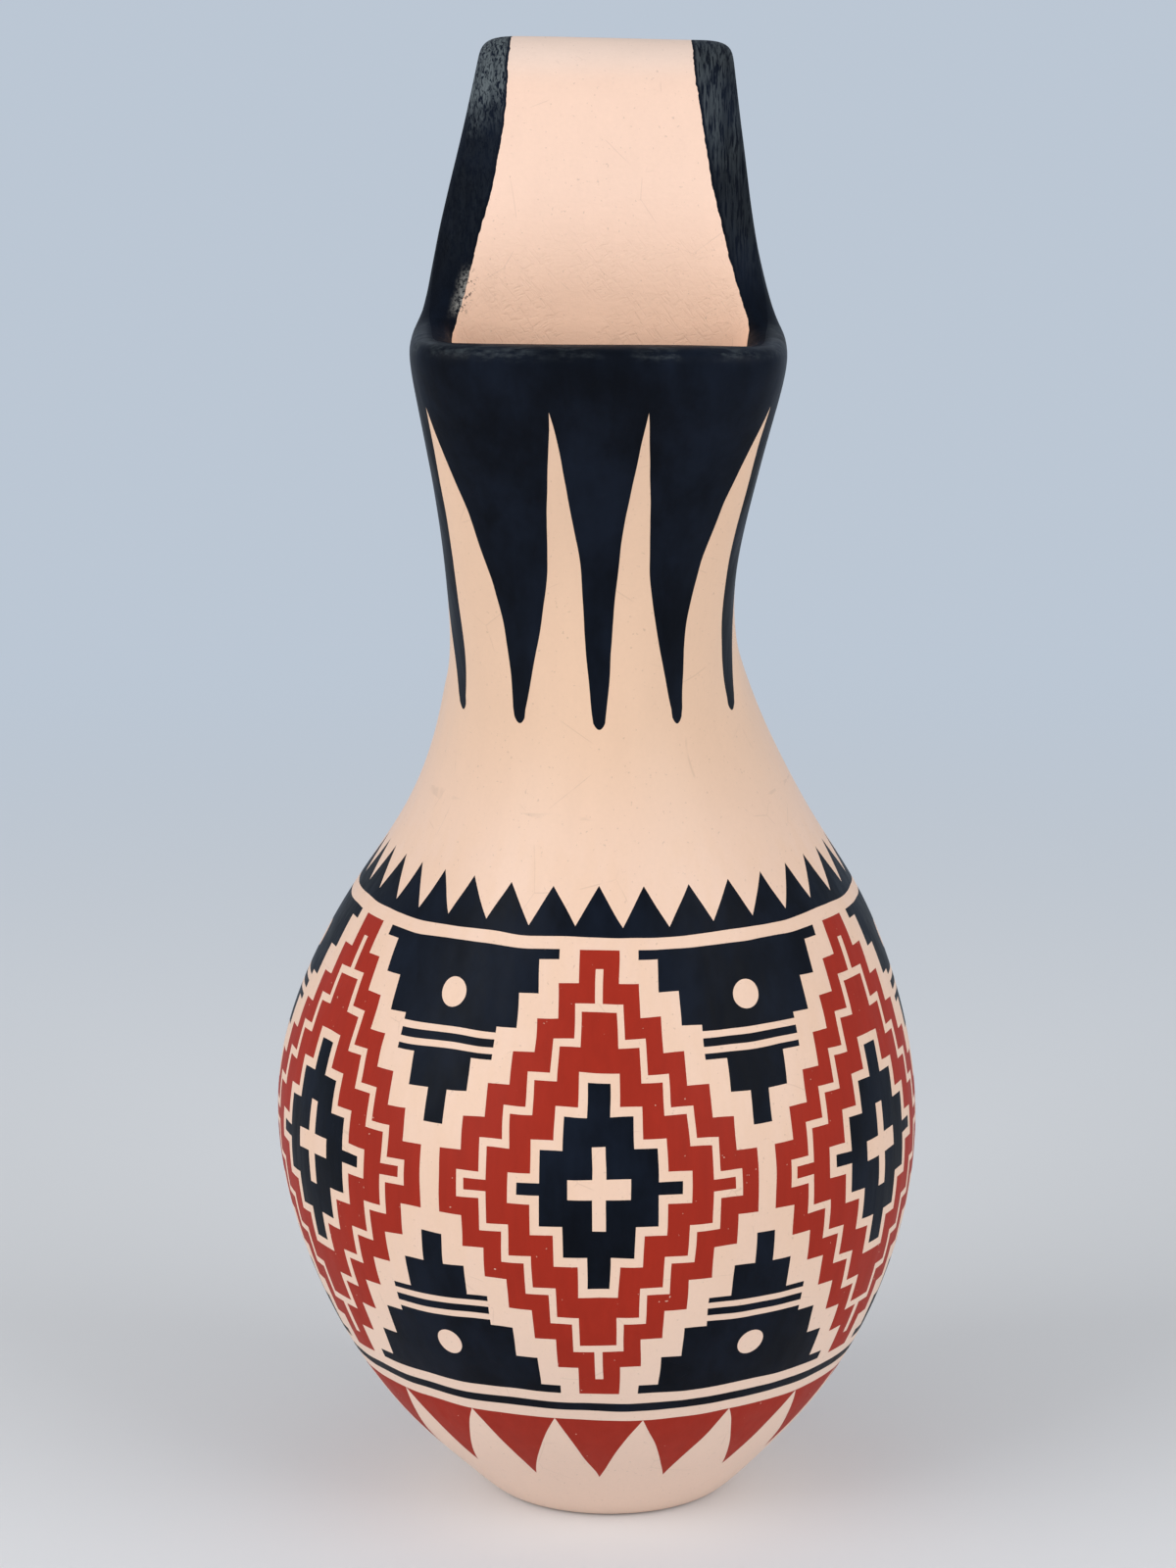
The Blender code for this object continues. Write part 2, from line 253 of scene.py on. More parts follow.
# strap handle, pulled over from the front mouth to the rear one
def raiseHandle(bm, frontEdge, rearEdge):
    s = handleShape
    row = frontEdge
    for k in range(1, s["rows"]):
        a = math.pi * k / s["rows"]
        rise = roundPower(math.sin(a), 2 / s["fullness"])
        wide = s["crown"] + (s["root"] - s["crown"]) * (1 - rise) ** s["taper"]
        y = -s["gap"] * roundPower(math.cos(a), 2 / s["fullness"])
        above = growLoop(bm, row, closed=False)
        for n, vert in enumerate(above):
            vert.co = (wide * (2 * n / (len(above) - 1) - 1), y, s["rootZ"] + s["rise"] * rise)
        setClay(bm, above, clay["strap"])
        markRow(row, above, "strapHandle")
        row = above
    ends = [bm.edges.get(pair) for line in (row, rearEdge) for pair in zip(line, line[1:])]
    bmesh.ops.bridge_loops(bm, edges=ends)
    markRow(row, rearEdge, "strapHandle")


# crotch line between the spouts, from the left side of the shoulder's oval to the right
def layValley(bm, ring):
    s = spoutShape
    right, left = ring[0], ring[len(ring) // 2]
    valley = []
    for k in range(1, s["acrossBack"]):
        a = math.pi * k / s["acrossBack"]
        lift = (s["crotch"] - right.co.z) * math.sqrt(math.sin(a))
        valley.append(bm.verts.new((-right.co.x * math.cos(a), 0, right.co.z + lift)))
    for pair in zip([left] + valley, valley + [right]):
        bm.edges.new(pair)
    setClay(bm, valley, clay["wall"])
    return valley


# the whole outer wall as one open sheet
def raiseSheet():
    bm = bmesh.new()
    bm.verts.layers.deform.verify()
    ring = raiseBody(bm)
    valley = layValley(bm, ring)
    half = len(ring) // 2
    front = [ring[-k % len(ring)] for k in range(half + 1)] + valley
    rear = [ring[half - k] for k in range(half + 1)] + valley[::-1]
    frontEdge = raiseSpout(bm, front, "frontSpout", 1)
    rearEdge = raiseSpout(bm, rear, "rearSpout", -1)
    raiseHandle(bm, frontEdge, rearEdge)
    bmesh.ops.recalc_face_normals(bm, faces=bm.faces)
    lowest = min(bm.faces, key=lambda f: f.calc_center_median().z)
    if lowest.normal.z > 0:     # the foot has to face down
        bmesh.ops.reverse_faces(bm, faces=bm.faces)
    mesh = bpy.data.meshes.new("claySheet")
    bm.to_mesh(mesh)
    bm.free()
    return mesh


# the sheet thickened inwards and smoothed
def thickenSheet(mesh):
    sheet = bpy.data.objects.new("claySheet", mesh)
    for name in groupOf:
        sheet.vertex_groups.new(name=name)
    bpy.context.scene.collection.objects.link(sheet)
    thicken = sheet.modifiers.new("thicken", "SOLIDIFY")
    thicken.thickness = clay["strap"]
    thicken.offset = -1
    thicken.use_even_offset = True
    thicken.vertex_group = "clay"
    thicken.shell_vertex_group = "inside"
    smooth = sheet.modifiers.new("smooth", "SUBSURF")
    smooth.levels = smooth.render_levels = clay["smooth"]
    finished = sheet.evaluated_get(bpy.context.evaluated_depsgraph_get())
    whole = bpy.data.meshes.new_from_object(finished)
    bpy.data.objects.remove(sheet)
    return whole


# what the potter's hands leave: a slow lean, a mouth a little off level and a soft unevenness
handWork = {
    "lean": [                   # height, shift to the right
        (0.0, 0.0027),
        (0.065, 0.0005),
        (0.12, -0.0008),
        (0.2, 0.0015),
        (0.232, -0.001),
        (0.258, -0.0022),
        (0.294, -0.0011),
        (0.322, -0.0002),
        (0.35, -0.0007),
        (0.375, 0.0006),
        (0.4, 0.002),
    ],
    "tilt": 0.012,
    "tiltFrom": (0.27, 0.05),   # height where the tilt sets in, and the height over which it does
    "uneven": 0.00045,
    "spacing": 0.046,
    "flatFoot": 0.012,          # the unevenness fades out below this height
}


def shapeByHand(whole):
    s = handWork
    tiltZ, tiltOver = s["tiltFrom"]
    places = [v.co.copy() for v in whole.vertices]
    outward = [v.normal.copy() for v in whole.vertices]
    moved = []
    for p, out in zip(places, outward):
        push = noise.noise(p / s["spacing"]) * s["uneven"] * min(1, p.z / s["flatFoot"])
        tilt = s["tilt"] * ease(min(1, max(0, (p.z - tiltZ) / tiltOver)))
        moved.extend(p + out * push + Vector((sizeAt(s["lean"], p.z), 0, -p.x * tilt)))
    whole.vertices.foreach_set("co", moved)
    whole.update()


wholeWall = thickenSheet(raiseSheet())
shapeByHand(wholeWall)
print("wall raised, faces:", len(wholeWall.polygons))


# open edges of a piece, one list for each closed loop
def openLoops(bm):
    left = {e for e in bm.edges if e.is_boundary}
    loops = []
    while left:
        reach = [left.pop()]
        loop = list(reach)
        while reach:
            touching = {e for v in reach.pop().verts for e in v.link_edges} & left
            left -= touching
            reach += touching
            loop += touching
        loops.append(loop)
    return loops


def loopCentre(loop):
    verts = {v for e in loop for v in e.verts}
    return sum((v.co for v in verts), Vector()) / len(verts)


# walls across the clay where a piece is luted to its neighbours
def closeJoints(bm):
    loops = openLoops(bm)
    joints = []
    while loops:
        loop = loops.pop()
        centre = loopCentre(loop)
        mates = [m for m in loops if len(m) == len(loop)]
        mates = [m for m in mates if (loopCentre(m) - centre).length < clay["strap"]]
        if mates:
            mate = min(mates, key=lambda m: (loopCentre(m) - centre).length)
            loops.remove(mate)
            joints += bmesh.ops.bridge_loops(bm, edges=loop + mate)["faces"]
        else:
            joints += bmesh.ops.contextual_create(bm, geom=loop)["faces"]
    for face in joints:
        face.smooth = False


# one piece of the wall as a closed solid, with the whole wall's own normals so that no seam shows
def partPiece(name):
    bm = bmesh.new()
    bm.from_mesh(wholeWall)
    normals = bm.verts.layers.float_vector.new("wallNormal")
    inside = bm.verts.layers.float.new("inside")
    groups = bm.verts.layers.deform.verify()
    for vert in bm.verts:
        vert[normals] = vert.normal
        vert[inside] = vert[groups].get(groupOf["inside"], 0.0)
    index = pieceOrder.index(name)
    bmesh.ops.delete(bm, geom=[f for f in bm.faces if f.material_index != index], context="FACES")
    for face in bm.faces:
        face.material_index = 0
        face.smooth = True
    closeJoints(bm)
    bmesh.ops.recalc_face_normals(bm, faces=bm.faces)
    bm.normal_update()
    corners = []
    for face in bm.faces:
        corners += [v[normals].copy() if face.smooth else face.normal.copy() for v in face.verts]
    bm.verts.layers.float_vector.remove(normals)
    mesh = bpy.data.meshes.new(name)
    bm.to_mesh(mesh)
    bm.free()
    mesh.materials.clear()
    for polygon in mesh.polygons:
        polygon.use_smooth = True
    mesh.normals_split_custom_set(corners)
    piece = bpy.data.objects.new(name, mesh)
    bpy.context.scene.collection.objects.link(piece)
    node, slot = pieceTable[name]
    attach(piece, "root")
    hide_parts(node)
    return piece


vasePieces = [partPiece(name) for name in pieceOrder]
bpy.data.meshes.remove(wholeWall)
print("pieces parted:", len(vasePieces))


# a node socket that is worked with like a number
class Wire:
    def __init__(self, tree, socket):
        self.tree = tree
        self.socket = socket

    def calc(self, kind, other=0.0, third=0.0):
        node = self.tree.nodes.new("ShaderNodeMath")
        node.operation = kind
        for put, value in zip(node.inputs, (self, other, third)):
            if isinstance(value, Wire):
                self.tree.links.new(value.socket, put)
            else:
                put.default_value = value
        return Wire(self.tree, node.outputs[0])

    def __add__(self, other):
        return self.calc("ADD", other)

    def __sub__(self, other):
        return self.calc("SUBTRACT", other)

    def __rsub__(self, other):
        return self.calc("MULTIPLY_ADD", -1.0, other)

    def __mul__(self, other):
        return self.calc("MULTIPLY", other)

    def __truediv__(self, other):
        return self.calc("DIVIDE", other)

    def __abs__(self):
        return self.calc("ABSOLUTE")

    def over(self, limit):
        return self.calc("GREATER_THAN", limit)

    def under(self, limit):
        return self.calc("LESS_THAN", limit)

    def either(self, other):
        return self.calc("MAXIMUM", other)

    def but(self, other):
        return self * (1 - other)

    # distance to the nearest whole number
    def fromWhole(self):
        return abs((self + 0.5).calc("FLOORED_MODULO", 1.0) - 0.5)

    # smooth ramp from 0 at low to 1 at high
    def rise(self, low, high):
        node = self.tree.nodes.new("ShaderNodeMapRange")
        node.interpolation_type = "SMOOTHSTEP"
        self.tree.links.new(self.socket, node.inputs["Value"])
        node.inputs["From Min"].default_value = low
        node.inputs["From Max"].default_value = high
        return Wire(self.tree, node.outputs["Result"])


slipColours = {
    "cream": (0.80, 0.565, 0.435),
    # warm: the tint of the polishing streaks, and the painted shade on the neck
    "warm": (0.745, 0.505, 0.352),
    "pale": (0.82, 0.61, 0.49),
    "panel": (0.845, 0.602, 0.479),
    # cream inside the mouths, made brighter and warmer as painted bounce light
    "mouthPaintedLight": (0.91, 0.595, 0.43),
    # crown: paler cream on the strap's crown, a painted sheen
    "crown": (0.85, 0.66, 0.56),
    # black: near-black slip, tinted blue partly as a painted reflection of a blue surround
    "black": (0.0033, 0.0054, 0.0106),
    "red": (0.325, 0.021, 0.009),
    # grey-blue: rubbed slip and painted sheen on the strap's crown and the rim
    "wornAndSheen": (0.10, 0.118, 0.128),
    "smear": (0.42, 0.41, 0.38),
}
# the painted layout is generic; all its sizes are in millimetres
brushLook = {
    "stray": 1.2,               # how far the brush wanders off every line
    "every": 26,
}
bandLook = {
    "middle": 110,
    "half": 60,                 # half the band's height
    "cells": 6,                 # diamonds round the body
    "steps": 7,
    "reach": 0.47,              # widest step, as a share of a cell
    "cellWide": 92,
    "redRings": ((0, 5), (7, 13)),   # drawn in from the diamond's edge
    "blackRing": (15.5, 23),
    "surround": 6,              # cream left round a diamond
    "dotAt": 47,                # above and below the middle
    "dotRadius": 3.7,
    "dotCell": 80,              # width of a cell at the dots
    "pairAt": 36,
    "pairApart": 1.9,
    "pairHalf": 0.85,
    "frame": (3.2, 5.8),        # frame lines, outside the band
    "topTeeth": (36, 5.8, 16),  # count round the body, root and tip outside the band
    "lowTeeth": (18, 9, 32),
    "overlap": 0.1,
}
collarLook = {
    "height": 311,              # black above this on the spouts
    "tip": 226,
    "saddleTip": 282,           # the points are shorter over the saddle
    "shortAt": (100, 135),      # degrees round the spout
    "pitch": 45,                # degrees from point to point
    "axis": 34,                 # the spout's middle, from the vase's
    "leanFrom": 230,
    "lean": 0.2,
    "bow": 0.95,
    "spread": 0.445,            # half widths, in pitches
    "tipHalf": 0.06,
    "blunt": (4, 0.02),
}
panelLook = {
    "top": 400,
    "half": 23.7,               # half width at the top
    "grow": 0.0524,
    "bend": 0.00201,
    "aside": 0.6,
    "ragged": 0.9,
    "backWall": 38,             # past this depth the panel gives way to the mouth
    "giveWay": 0.1,
    "mouthZ": 294,
    "slack": 6,
    "strapZ": 333,              # the strap begins
}
# height and fade of each zone
zones = {
    # from here up the cream turns darker and warmer: painted shade under the flaring lips
    "neckPaintedShade": (180, 50),
    "footPale": (110, 70),
    # where the painted bounce light in the mouth fades into the panel
    "panelFoot": (320, 45),
    # between these heights the panel is painted lighter: painted light where it lies in shade
    "panelLow": (330, 14),
    "panelHigh": (384, 30),
    # the painted sheen on the strap's crown begins here
    "crown": (388, 10),
    "scraped": (366, 40),
    "strapBands": (333, 20),
    "rimLow": (322.5, 2.5),
    "rimHigh": (329, 2),
    "smearLow": (329, 4),
    "smearHigh": (344, 6),
}
markLook = {
    "hairCell": 26,             # pencil hairs, and a guide line on the shoulder
    "hairWide": 0.004,
    "guideZ": 203,
    "guideWaver": 8,
    "guideHalf": 0.35,
}
rubAndSheenLook = {
    "from": 369,                # painted sheen and rubbing show most on the crown, and further down on the right
    "fade": 18,
    "slope": 0.2,
    "most": (-0.0123, 0.66),    # change to the right, and amount in the middle
    "least": (0.001, 0.08),
    "clear": (0.4, 0.8),        # the panel's edge stays black
}
bumpLook = {"strength": 0.35, "depth": 0.0004}


# the slip paint of the whole vase, on Object coordinates
class SlipPaint:
    def __init__(self, tree):
        self.tree = tree
        scaleUp = self.vectorNode("SCALE")
        scaleUp.inputs["Scale"].default_value = 1000    # metres to millimetres
        self.link(self.add("TexCoord").outputs["Object"], scaleUp.inputs[0])
        self.place = scaleUp.outputs[0]
        stray = brushLook["stray"]
        wander = self.vectorNode("MULTIPLY_ADD")
        self.link(self.noiseNode(brushLook["every"], 1.5).outputs["Color"], wander.inputs[0])
        wander.inputs[1].default_value = (2 * stray, 2 * stray, 2 * stray)
        wander.inputs[2].default_value = (-stray, -stray, -stray)
        brushed = self.vectorNode("ADD")
        self.link(self.place, brushed.inputs[0])
        self.link(wander.outputs[0], brushed.inputs[1])
        self.brushed = brushed.outputs[0]
        split = self.add("SeparateXYZ")
        self.link(self.brushed, split.inputs[0])
        self.x, y, self.z = [Wire(tree, socket) for socket in split.outputs]
        self.flank = abs(y)
        inside = self.add("Attribute")
        inside.attribute_name = "inside"
        self.inner = Wire(tree, inside.outputs["Fac"]).over(0.5)
        print("paint coordinates ready")

    def add(self, kind):
        return self.tree.nodes.new("ShaderNode" + kind)

    def vectorNode(self, operation):
        node = self.add("VectorMath")
        node.operation = operation
        return node

    def link(self, fromSocket, toSocket):
        self.tree.links.new(fromSocket, toSocket)

    def noiseNode(self, size, detail, roughness=0.5, stretch=None, twist=0.0, slant=0.0):
        source = self.place
        if stretch:
            mapping = self.add("Mapping")
            mapping.vector_type = "TEXTURE"
            mapping.inputs["Rotation"].default_value = (0, math.radians(slant), 0)
            mapping.inputs["Scale"].default_value = [1 / share for share in stretch]
            self.link(self.place, mapping.inputs["Vector"])
            source = mapping.outputs[0]
        node = self.add("TexNoise")
        node.inputs["Scale"].default_value = 1 / size
        node.inputs["Detail"].default_value = detail
        node.inputs["Roughness"].default_value = roughness
        node.inputs["Distortion"].default_value = twist
        self.link(source, node.inputs["Vector"])
        return node

    def noise(self, *look, **more):
        return Wire(self.tree, self.noiseNode(*look, **more).outputs["Fac"])

    def above(self, zone):
        height, fade = zones[zone]
        return (self.z - height).rise(0, fade)

    def below(self, zone):
        height, fade = zones[zone]
        return (height - self.z).rise(0, fade)

    # belly band: stepped diamonds with stepped pyramids between them, frame lines and rows of teeth
    def bellyBand(self):
        s = bandLook
        z = self.z
        turn = self.x.calc("ARCTAN2", self.flank) * (s["cells"] / (2 * math.pi))
        across = turn.fromWhole()
        fromMiddle = abs(z - s["middle"])
        inBand = fromMiddle.under(s["half"])

        # drawn in by so many millimetres on every step
        def diamond(drawn):
            stair = ((fromMiddle + drawn) * (s["steps"] / s["half"])).calc("FLOOR") / s["steps"]
            return (stair * -s["reach"] + s["reach"] - drawn / s["cellWide"] - across).over(0.0)

        def ring(outside, inside):
            return diamond(outside).but(diamond(inside))

        def teeth(count, low, high):
            saw = (turn * (count / s["cells"])).fromWhole() * 2
            return (1 - saw - (z - low) / (high - low)).over(0.0)

        wideRed, thinRed = [ring(*span) for span in s["redRings"]]
        dotX = (0.5 - across) * s["dotCell"]
        dotZ = fromMiddle - s["dotAt"]
        dot = (dotX * dotX + dotZ * dotZ).under(s["dotRadius"] ** 2)
        pairLine = abs(abs(fromMiddle - s["pairAt"]) - s["pairApart"]).under(s["pairHalf"])
        pyramids = (1 - diamond(-s["surround"])).but(dot.either(pairLine))
        black = ring(*s["blackRing"]).either(pyramids) * inBand

        top, bottom = s["middle"] + s["half"], s["middle"] - s["half"]
        lineFrom, lineTo = s["frame"]
        black = black.either(z.over(top + lineFrom) * z.under(top + lineTo))
        black = black.either(z.under(bottom - lineFrom) * z.over(bottom - lineTo))
        count, root, tip = s["topTeeth"]
        black = black.either(teeth(count, top + root, top + tip) * z.over(top + root - s["overlap"]))
        count, root, tip = s["lowTeeth"]
        lowTeeth = teeth(count, bottom - root, bottom - tip) * z.under(bottom - root)
        return (wideRed.either(thinRed) * inBand).either(lowTeeth), black

    # hanging points round each spout, and the black collar above them
    def spoutCollar(self):
        s = collarLook
        axis = (self.z - s["leanFrom"]).either(0.0) * s["lean"] + s["axis"]
        around = self.x.calc("ARCTAN2", self.flank - axis) * (180 / math.pi / s["pitch"])
        lane = around.fromWhole()
        shortFrom, shortTo = s["shortAt"]
        short = abs(around).rise(shortFrom / s["pitch"], shortTo / s["pitch"])
        tip = short * (s["saddleTip"] - s["tip"]) + s["tip"]
        hang = (self.z - tip) / (s["height"] - tip)
        reach = hang.either(0.0).calc("POWER", s["bow"]) * s["spread"] + s["tipHalf"]
        roundness, most = s["blunt"]
        blunt = (lane * lane * roundness).calc("MINIMUM", most)
        points = lane.under(reach) * (hang - blunt).over(0.0)
        return points.either(self.z.over(s["height"]))

    # the strap's cream panel, and the mouths' cream insides
    def strapPanel(self):
        s = panelLook
        down = (s["top"] - self.z).either(0.0)
        halfWide = down * (down * s["bend"] + s["grow"]) + s["half"]
        intoMouth = (self.flank - s["backWall"]).either(0.0)
        fromEdge = halfWide - abs(self.x - s["aside"]) - intoMouth * intoMouth * s["giveWay"]
        self.fromEdge = fromEdge + (self.noise(2.5, 2) - 0.5) * s["ragged"]
        outside = (self.fromEdge * -1).either(0.0) * (self.z - s["mouthZ"]).either(0.0)
        self.beyond = outside.over(s["slack"])

    def layOut(self):
        red, black = self.bellyBand()
        collar = self.spoutCollar()
        self.strapPanel()
        onStrap = self.z.over(panelLook["strapZ"])
        upper = collar.but(self.inner).but(onStrap).either(self.beyond * self.inner.either(onStrap))
        self.black = black.but(self.inner).either(upper)
        self.red = red.but(self.inner).but(self.black)
        print("painted layout ready")

    # clay body: warm clouds, fine specks, and the marks of polishing stone, pencil and scraper
    def markClay(self):
        s = markLook
        self.clouds = self.noise(55, 4, 0.55)
        self.grain = self.noise(1.1, 3, 0.6)
        self.strokes = self.noise(5, 3, 0.55, stretch=(1, 1, 0.12))
        self.specks = self.noise(0.9, 1).rise(0.70, 0.78)
        cells = self.add("TexVoronoi")
        cells.feature = "DISTANCE_TO_EDGE"
        cells.inputs["Scale"].default_value = 1 / s["hairCell"]
        self.link(self.brushed, cells.inputs["Vector"])
        hairs = Wire(self.tree, cells.outputs["Distance"]).under(s["hairWide"])
        self.hairs = hairs * self.noise(12, 2).rise(0.54, 0.62)
        waver = (self.noise(18, 2) - 0.5) * s["guideWaver"]
        guide = (abs(self.z - s["guideZ"]) + waver).under(s["guideHalf"])
        guide = guide * self.noise(9, 2).rise(0.5, 0.6)
        fine = self.noise(0.7, 2, stretch=(1, 1, 0.12), twist=0.5, slant=-38).rise(0.54, 0.70)
        coarse = self.noise(0.9, 3, 0.6, stretch=(1, 1, 0.3), twist=0.6, slant=60).rise(0.50, 0.72)
        nicks = fine.either(coarse) * self.noise(16, 2).rise(0.36, 0.60)
        self.nicks = nicks * self.inner * self.below("scraped")    # the strap's foot isn't polished
        tone = (self.clouds - 0.5) * 0.10 + (self.grain - 0.5) * 0.06 + (self.strokes - 0.5) * 0.05 + 1
        tone = tone - self.specks * 0.18 - guide.either(self.hairs) * 0.10
        self.tone = tone - self.nicks * 0.025

    # black slip: uneven coats, brush grooves on the strap, rubbed edges with painted sheen on the
    # crown and rim, and a pale smear by the panel
    def blackWearAndSheen(self):
        s = rubAndSheenLook
        x = self.x
        self.streaks = self.noise(2.6, 4, 0.6, stretch=(1, 1, 0.07))
        # uneven coats of black slip, whose lighter patches are partly painted sheen
        self.coatsAndSheen = self.noise(20, 4, 0.6, stretch=(1, 1, 0.6)).rise(0.34, 0.70)
        self.ridges = self.noise(0.6, 3, 0.6, stretch=(1, 0.3, 0.3), twist=0.8)
        combed = self.noise(1.7, 3, 0.6, stretch=(1, 0.06, 0.06))
        longer = self.noise(0.55, 3, 0.6, stretch=(1, 0.1, 0.1), twist=0.5)
        right = x.over(0.0)
        self.grooves = self.ridges.but(right) + longer * right
        self.bands = self.beyond * self.above("strapBands")
        uneven = (self.noise(6, 3) - 0.5) * s["fade"]
        crownRamp = (self.z - s["from"] + x * s["slope"] + uneven).rise(0, s["fade"])
        mostChange, most = s["most"]
        leastChange, least = s["least"]
        cover = crownRamp * (x * mostChange + most) + (x * leastChange + least)
        # grey streaks on the strap's black edges: partly dry-brush wear, partly painted sheen of the
        # light from above
        rubAndSheen = self.grooves.rise(0.39, 0.55) * (combed.rise(0.30, 0.62) * 0.6 + 0.4)
        clear, clearFade = s["clear"]
        edge = (abs(self.fromEdge) - clear).rise(0, clearFade)
        self.rubAndSheen = rubAndSheen * cover * self.bands * edge
        # lighter patches along the lip's top edge: scuffs, and a painted highlight where the rounded
        # edge catches light
        scuffsAndGlint = self.noise(1.3, 4, 0.7, stretch=(0.3, 1, 1)).rise(0.38, 0.78)
        scuffsAndGlint = scuffsAndGlint * self.noise(13, 2).rise(0.35, 0.60)
        self.rimWearAndSheen = scuffsAndGlint * self.above("rimLow") * self.below("rimHigh") * (1 - self.inner)
        beside = self.above("smearLow") * self.below("smearHigh") * x.under(0.0) * self.inner
        smear = (self.fromEdge + 3.6).rise(0, 3.4) * self.noise(0.8, 4, 0.75).rise(0.38, 0.62)
        self.smear = smear * beside * self.beyond
        flecks = (3.2 - self.fromEdge).rise(0, 2.4) * self.noise(0.9, 3, 0.7).rise(0.55, 0.62)
        self.flecks = flecks * beside
        self.pits = self.noise(1.1, 1).rise(0.78, 0.80)

    def tinted(self, slip, factor):
        node = self.vectorNode("SCALE")
        node.inputs[0].default_value = slipColours[slip]
        self.link(factor.socket, node.inputs["Scale"])
        return node.outputs[0]

    def layered(self, under, over, mask):
        node = self.add("Mix")
        node.data_type = "RGBA"
        self.link(mask.socket, node.inputs[0])
        self.link(under, node.inputs[6])    # the node's colour sockets
        self.link(over, node.inputs[7])
        return node.outputs[2]

    def colour(self):
        tone = self.tone
        # warm tint: random polishing streaks, and from the shoulder up painted shade under the flaring
        # lips
        warmth = (self.strokes.rise(0.3, 0.7) * 0.4).either(self.above("neckPaintedShade") * 0.9)
        cream = self.layered(self.tinted("cream", tone), self.tinted("warm", tone), warmth)
        cream = self.layered(cream, self.tinted("pale", tone), self.below("footPale"))
        # the panel's lower middle is lifted a little: painted light where it lies in shade
        panelTone = tone * (self.above("panelLow") * self.below("panelHigh") * 0.07 + 1)
        # inside the mouth a brighter, warmer cream: painted bounce light
        mouthPaintedLight, panel = self.tinted("mouthPaintedLight", tone), self.tinted("panel", panelTone)
        panel = self.layered(mouthPaintedLight, panel, self.above("panelFoot"))
        # paler cream on the crown: painted sheen of the light from above
        panel = self.layered(panel, self.tinted("crown", tone), self.above("crown"))
        cream = self.layered(cream, panel, self.inner)
        red = self.tinted("red", (self.streaks - 0.5) * 0.28 + (self.clouds - 0.5) * 0.25 + 1)
        black = self.tinted("black", (self.streaks - 0.5) * 0.7 + self.coatsAndSheen + 0.65)
        wornAndSheen = self.tinted("wornAndSheen", self.grooves * 0.8 + 0.6)
        # grey-blue over the black: rubbing with painted sheen on the crown, and scuffs with a painted
        # highlight on the rim
        black = self.layered(black, wornAndSheen, self.rubAndSheen.either(self.rimWearAndSheen * 0.36))
        painted = self.layered(cream, red, self.red.but(self.pits * 0.7))
        painted = self.layered(painted, black, self.black.either(self.flecks * 0.8))
        return self.layered(painted, self.tinted("smear", self.ridges * 0.5 + 0.7), self.smear * 0.8)

    def roughness(self):
        rough = (self.strokes - 0.5) * 0.22 + (self.clouds - 0.5) * 0.10 + 0.42
        return rough + self.red * 0.10 + self.black * (self.streaks - 0.35) * 0.25 + self.inner * 0.2

    # the cream slip is stone polished
    def sheen(self):
        return (self.black * -0.20 - self.red * 0.14 - self.inner * 0.12 + 0.26).either(0.04)

    def relief(self):
        scraped = self.noise(2.2, 4, 0.7, stretch=(0.5, 1, 1)) * self.inner
        height = self.strokes * 0.5 + self.grain * 0.12 + self.noise(14, 3) * 1.2
        height = height - self.specks * 0.1 - self.hairs * 0.15 - self.nicks
        height = height + self.grooves * self.bands * 0.8 + scraped * 1.1
        bump = self.add("Bump")
        bump.inputs["Strength"].default_value = bumpLook["strength"]
        bump.inputs["Distance"].default_value = bumpLook["depth"]
        self.link(height.socket, bump.inputs["Height"])
        return bump.outputs[0]


def paintMaterial():
    material = bpy.data.materials.new("paintedClay")
    material.use_nodes = True
    shader = material.node_tree.nodes["Principled BSDF"]
    paint = SlipPaint(material.node_tree)
    paint.layOut()
    paint.markClay()
    paint.blackWearAndSheen()
    paint.link(paint.colour(), shader.inputs["Base Color"])
    paint.link(paint.roughness().socket, shader.inputs["Roughness"])
    paint.link(paint.sheen().socket, shader.inputs["Specular IOR Level"])
    paint.link(paint.relief(), shader.inputs["Normal"])
    return material


paintedClay = paintMaterial()
for piece in vasePieces:
    piece.data.materials.append(paintedClay)
print("slip painted")


stageLook = {
    "floor": (0.80, 0.82, 0.85, 1),
    "far": (0.50, 0.57, 0.66, 1),
    "radius": 24,
    "segments": 96,
    "roughness": 0.7,
    "fade": (0.15, 1.4),        # where the floor starts and ends to turn into the backdrop
}


# only what the camera and reflections see: plain backdrop colour
def backdropRays(tree):
    path = tree.nodes.new("ShaderNodeLightPath")
    camera, glossy, through = [
        Wire(tree, path.outputs["Is %s Ray" % kind]) for kind in ("Camera", "Glossy", "Transmission")
    ]
    return camera.either(glossy).either(through)


# wide pale floor that fills the view behind the vase
def layFloor():
    s = stageLook
    bm = bmesh.new()
    bmesh.ops.create_circle(bm, cap_ends=True, segments=s["segments"], radius=s["radius"])
    mesh = bpy.data.meshes.new("paleFloor")
    bm.to_mesh(mesh)
    bm.free()
    floor = bpy.data.objects.new("paleFloor", mesh)
    bpy.context.scene.collection.objects.link(floor)
    material = bpy.data.materials.new("palePaper")
    material.use_nodes = True
    tree = material.node_tree
    shader = tree.nodes["Principled BSDF"]
    shader.inputs["Base Color"].default_value = s["floor"]
    shader.inputs["Roughness"].default_value = s["roughness"]
    away = tree.nodes.new("ShaderNodeVectorMath")
    away.operation = "LENGTH"
    tree.links.new(tree.nodes.new("ShaderNodeTexCoord").outputs["Object"], away.inputs[0])
    share = Wire(tree, away.outputs["Value"]).rise(*s["fade"]) * backdropRays(tree)
    glow = tree.nodes.new("ShaderNodeEmission")
    glow.inputs["Color"].default_value = s["far"]
    blend = tree.nodes.new("ShaderNodeMixShader")
    tree.links.new(share.socket, blend.inputs[0])
    tree.links.new(shader.outputs[0], blend.inputs[1])
    tree.links.new(glow.outputs[0], blend.inputs[2])
    tree.links.new(blend.outputs[0], tree.nodes["Material Output"].inputs["Surface"])
    mesh.materials.append(material)


layFloor()

